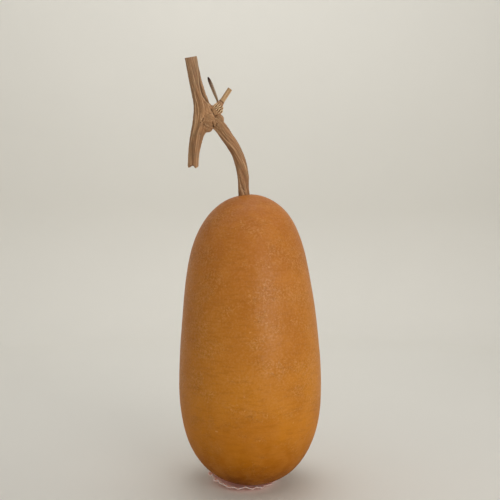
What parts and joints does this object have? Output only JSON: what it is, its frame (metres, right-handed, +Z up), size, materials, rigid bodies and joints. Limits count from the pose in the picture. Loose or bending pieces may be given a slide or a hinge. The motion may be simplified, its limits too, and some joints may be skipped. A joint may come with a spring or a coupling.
{
  "type": "dried bottle gourd",
  "caption": "Long dried bottle gourd standing on end in a ruffled round of cloth, with its curved stalk and a cut piece of vine.",
  "frame": {"origin": "on the surface that it stands on, at the centre of the cloth's flat underside, under the fruit's axis", "axes": "+Z up along the fruit; -Y is the front that the picture shows; the vine reaches towards -X"},
  "size_m": [0.1411, 0.141, 0.4257],
  "materials": {
    "gourd_skin": "smooth dried skin with a soft rubbed sheen",
    "dry_vine": "dry fibrous ridged stem",
    "straw_stalk": "dry straw",
    "dark_tendril": "dry and shrivelled",
    "pink_cloth": "thin matt cloth with a ruffled hem"
  },
  "bodies": {
    "root": {"gourd_body": "gourd_skin", "stalk_and_vine": "dry_vine", "leaf_stalk": "straw_stalk", "tendril": "dark_tendril", "cloth_pad": "pink_cloth"}
  },
  "joints": []
}
